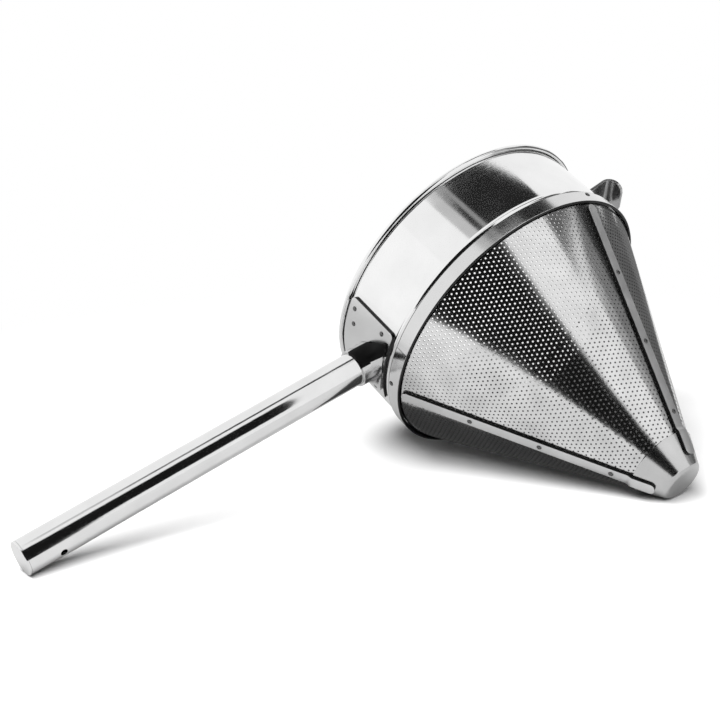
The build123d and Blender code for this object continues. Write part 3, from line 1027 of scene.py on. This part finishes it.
HOOK_TURN = math.radians(175.6)
HOOK_LEG = 26.0 * MM
HOOK_WALL = 2.0 * MM
HOOK_RIVET_STEPS = (6.0 * MM, 17.0 * MM)
hook_face = saddle_inner + HOOK_WALL
hook_foot = saddle_top - HOOK_LEG
hook_places = [on_collar(HOOK_TURN, hook_foot + step, hook_face) for step in HOOK_RIVET_STEPS]
set_rivets("hook_rivet", hook_face - collar_inner, hook_places, "hook_rivets")

# %% [markdown]
# The saddle plate spreads the handle's pull over the thin collar. It is a flat plate with round
# corners, sheared, bent to the collar and riveted. Like the straps it starts as a grid, and the
# rule that lays it down bends it round the collar.

# %% Saddle plate
SADDLE_CORNER = 3.0 * MM
SADDLE_EDGE = 0.35 * MM
SADDLE_CELLS = 72

saddle_wall = saddle_outer - saddle_inner
saddle_middle = (saddle_outer + saddle_inner) / 2
saddle_half_width = saddle_outer * math.sin(SADDLE_HALF_TURN)
saddle_half_height = (saddle_top - saddle_foot) / 2


def corner_cut(place, reach, radius):
    """How much less than the half width is left, near an end with round corners."""
    lack = radius - (reach - abs(place))
    return radius - math.sqrt(max(radius**2 - lack**2, 0)) if lack > 0 else 0.0


plain_select()
bpy.ops.mesh.primitive_grid_add(x_subdivisions=SADDLE_CELLS, y_subdivisions=SADDLE_CELLS, size=2)
plate = bpy.context.object
plate.name = "bent_saddle_plate"
for vertex in plate.data.vertices:
    share = math.sin(vertex.co.y * math.pi / 2)
    rise = share * saddle_half_height
    half_width = saddle_half_width - corner_cut(rise, saddle_half_height, SADDLE_CORNER)
    turn = math.asin(vertex.co.x * half_width / saddle_outer)
    height = saddle_foot + saddle_half_height + rise
    vertex.co = (saddle_middle * math.cos(turn), saddle_middle * math.sin(turn), height)
# the plate's cut edges take the near-black painted shade, for the shadow line along them
dress(plate, plate_steel, painted_shade_steel)
thicken(plate, saddle_wall, SADDLE_EDGE, rim=1)
face_out(plate)
lay_over(plate, "sheet_steel", "saddle_plate")

# %% [markdown]
# The handle has a frame of its own, Z out along the tube. It is drawn tube with the hanging hole
# bored through both walls by a Boolean, as a drill does it, and a flat plug with a rounded edge
# closes its end.

# %% The handle's frame, tube and end plug
HANDLE_HEIGHT = 29.5 * MM
HANDLE_SLOPE = math.radians(-3.4)
HANDLE_RADIUS = 10.9 * MM
HANDLE_WALL = 1.2 * MM
HANDLE_LENGTH = 256.6 * MM
ROOT_GAP = 0.8 * MM
PLUG_WALL = 1.4 * MM
PLUG_GAP = 0.1 * MM
PLUG_DEPTH = 9.0 * MM
PLUG_EDGE = 0.7 * MM
PLUG_EDGE_STEPS = 6
HANG_RADIUS = 2.25 * MM
HANG_SETBACK = 22.0 * MM
TUBE_STEPS = 96
DRILL_SIDES = 32
DRILL_LENGTH = 4 * HANDLE_RADIUS

handle_out = Vector((math.cos(HANDLE_SLOPE), 0, math.sin(HANDLE_SLOPE)))
handle_frame = square_to(handle_out, Vector((0, 0, 1)), Vector((ring_outer, 0, HANDLE_HEIGHT)))

tube_middle = HANDLE_RADIUS - HANDLE_WALL / 2
hang_place = HANDLE_LENGTH - HANG_SETBACK
tube_end = HANDLE_LENGTH - PLUG_WALL - PLUG_GAP
hole_zone = 2 * HANG_RADIUS
tube_line = [
    (tube_middle, ROOT_GAP),
    (tube_middle, hang_place - hole_zone),
    (tube_middle, hang_place + hole_zone),
    (tube_middle, tube_end),
]
tube = turned("drawn_tube", tube_line, TUBE_STEPS)
dress(tube, handle_steel)
thicken(tube, HANDLE_WALL, SHEET_EDGE)
face_out(tube)
plain_select()
bpy.ops.mesh.primitive_cylinder_add(
    vertices=DRILL_SIDES,
    radius=HANG_RADIUS,
    depth=DRILL_LENGTH,
    location=(0, 0, hang_place),
    rotation=(math.pi / 2, 0, 0),
)
drill = bpy.context.object
select_only(tube)
bore = tube.modifiers.new("hanging hole", "BOOLEAN")
bore.operation = "DIFFERENCE"
bore.solver = "EXACT"
bore.object = drill
bpy.ops.object.modifier_apply(modifier=bore.name)
bpy.data.objects.remove(drill)
tube.data.transform(handle_frame)
lay_over(tube, "handle_steel", "handle_tube")

cup_outer = HANDLE_RADIUS - HANDLE_WALL - PLUG_GAP
cup_inner = cup_outer - HANDLE_WALL
disc_back = HANDLE_LENGTH - PLUG_WALL
plug_line = [(0.0, HANDLE_LENGTH)]
plug_middle = (HANDLE_RADIUS - PLUG_EDGE, HANDLE_LENGTH - PLUG_EDGE)
plug_line += arc(plug_middle, PLUG_EDGE, math.pi / 2, -math.pi / 2, PLUG_EDGE_STEPS)
cup_foot = disc_back - PLUG_DEPTH
plug_line += [(HANDLE_RADIUS, disc_back), (cup_outer, disc_back), (cup_outer, cup_foot)]
plug_line += [(cup_inner, cup_foot), (cup_inner, disc_back), (0.0, disc_back)]
plug = turned("end_plug", plug_line, TUBE_STEPS)
dress(plug, handle_steel)
face_out(plug)
plug.data.transform(handle_frame)
lay_over(plug, "handle_steel", "handle_end_plug")

# %% [markdown]
# The boss is pressed from sheet: round where it grips the tube, three-cornered where it meets
# the plate. It is turned as a plain tube and each point then moved out to its place between the
# two outlines. At the foot it runs out level with the plate, at the tube straight along it. The
# side by the ring is drawn near black, a painted shade.

# %% Handle boss
BOSS_WALL = 1.4 * MM
BOSS_LENGTH = 15.0 * MM
BOSS_PEAK = 18.0 * MM
BOSS_FOOT = 12.6 * MM
BOSS_HALF_WIDTH = 26.0 * MM
BOSS_GAP = 0.1 * MM
BOSS_SOFTNESS = 6
BOSS_FLARE_POWER = 2.4
BOSS_RISE_POWER = 1.5
BOSS_EDGE = 0.3 * MM
BOSS_ROWS = 26
BOSS_SHADE_WAY = Vector((0.56, -0.26, 0.78))
BOSS_SHADE_SPREAD = math.radians(37)

mouth_radius = HANDLE_RADIUS + BOSS_GAP + BOSS_WALL / 2
slant_side = Vector((BOSS_PEAK + BOSS_FOOT, BOSS_HALF_WIDTH)).normalized()
boss_sides = [
    (slant_side, BOSS_PEAK * slant_side.y - BOSS_WALL / 2),
    (Vector((-slant_side.x, slant_side.y)), BOSS_PEAK * slant_side.y - BOSS_WALL / 2),
    (Vector((0, -1)), BOSS_FOOT - BOSS_WALL / 2),
]


def foot_reach(way):
    """Distance from the tube's axis to the soft three-cornered outline, that way."""
    shares = [max(way.dot(normal) / distance, 0) for normal, distance in boss_sides]
    return sum(share**BOSS_SOFTNESS for share in shares) ** (-1 / BOSS_SOFTNESS)


def plate_depth(place, radius):
    """How far out along the tube's axis the round plate lies, at a place across it."""
    run = math.sqrt(radius**2 - place.x**2) - ring_outer + place.y * math.sin(HANDLE_SLOPE)
    return run / math.cos(HANDLE_SLOPE)


boss_line = [(MM, step / BOSS_ROWS) for step in range(BOSS_ROWS + 1)]
boss = turned("pressed_boss", boss_line, TUBE_STEPS)
for vertex in boss.data.vertices:
    way = Vector((vertex.co.x, vertex.co.y)).normalized()
    share = min(vertex.co.z, 1.0)
    flare = (1 - share) ** BOSS_FLARE_POWER
    reach = mouth_radius + (foot_reach(way) - mouth_radius) * flare
    place = way * reach
    seat = plate_depth(place, saddle_outer + BOSS_WALL / 2 + BOSS_GAP)
    out = seat + (BOSS_LENGTH - seat) * share**BOSS_RISE_POWER
    vertex.co = (place.x, place.y, out)
dress(boss, plate_steel, boss_shade_steel)
face_out(boss)
thicken(boss, BOSS_WALL, BOSS_EDGE)
face_out(boss)
# painted shade: faces turned toward this side of the boss are drawn near black
boss_shade_side = ((own_frame @ handle_frame).to_3x3().inverted() @ BOSS_SHADE_WAY).xy.normalized()
for face in boss.data.polygons:
    if face.center.xy.normalized().dot(boss_shade_side) > math.cos(BOSS_SHADE_SPREAD):
        face.material_index = 1
boss.data.transform(handle_frame)
lay_over(boss, "handle_steel", "handle_socket")

# %% [markdown]
# The pot hook is a plate bent twice, sharply at the collar and softly at its tab. Its middle
# line is worked out first, corner by corner, and a grid is laid along it, narrowed where the free
# corners are round.

# %% Pot hook
HOOK_WIDTH = 26.0 * MM
HOOK_REACH = 137.0 * MM
HOOK_DROP = 13.5 * MM
HOOK_RISE = 4.0 * MM
HOOK_BENDS = (3.0 * MM, 6.5 * MM)
HOOK_BEND_STEPS = 10
HOOK_CORNER = 6.0 * MM
HOOK_LANES = 24
HOOK_STEP = 1.0 * MM
HOOK_EDGE = 0.4 * MM
HOOK_EDGE_STEPS = 3

leg_middle = hook_face - HOOK_WALL / 2
arm_middle = saddle_top - HOOK_WALL / 2
tab_middle = HOOK_REACH - HOOK_WALL / 2
tab_top = arm_middle + HOOK_RISE
hook_stops = [
    Vector((leg_middle, hook_foot)),
    Vector((leg_middle, arm_middle)),
    Vector((tab_middle, tab_top)),
    Vector((tab_middle, tab_top - HOOK_DROP)),
]


def bent_line(stops, radii, steps):
    """The line through the stops, with each inner corner rounded to its radius."""
    line = [stops[0]]
    for before, corner, after, radius in zip(stops, stops[1:], stops[2:], radii):
        back = (before - corner).normalized()
        onward = (after - corner).normalized()
        half = back.angle(onward) / 2
        middle = corner + (back + onward).normalized() * radius / math.sin(half)
        start = corner + back * radius / math.tan(half) - middle
        swing = math.pi - 2 * half
        side = 1 if back.x * onward.y - back.y * onward.x < 0 else -1
        for step in range(steps + 1):
            angle = side * swing * step / steps
            turned_start = Vector((
                start.x * math.cos(angle) - start.y * math.sin(angle),
                start.x * math.sin(angle) + start.y * math.cos(angle),
            ))
            line.append(middle + turned_start)
    return line + [stops[-1]]


def filled_line(line, longest):
    """The same line with extra places on its long straight runs."""
    filled = [line[0]]
    for start, end in zip(line, line[1:]):
        parts = max(1, round((end - start).length / longest))
        filled += [start + (end - start) * part / parts for part in range(1, parts + 1)]
    return filled


hook_line = filled_line(bent_line(hook_stops, HOOK_BENDS, HOOK_BEND_STEPS), HOOK_STEP)
run = [0.0]
for start, end in zip(hook_line, hook_line[1:]):
    run.append(run[-1] + (end - start).length)
half_run = run[-1] / 2
hook_rows = len(hook_line) - 1
plain_select()
bpy.ops.mesh.primitive_grid_add(x_subdivisions=HOOK_LANES, y_subdivisions=hook_rows, size=2)
hook = bpy.context.object
hook.name = "bent_pot_hook"
for vertex in hook.data.vertices:
    number = round((vertex.co.y + 1) / 2 * hook_rows)
    half_width = HOOK_WIDTH / 2 - corner_cut(run[number] - half_run, half_run, HOOK_CORNER)
    place = hook_line[number]
    vertex.co = (place.x, vertex.co.x * half_width, place.y)
dress(hook, hook_steel)
thicken(hook, HOOK_WALL, HOOK_EDGE, HOOK_EDGE_STEPS)
face_out(hook)
hook.data.transform(Matrix.Rotation(HOOK_TURN, 4, "Z"))
lay_over(hook, "sheet_steel", "pot_hook")
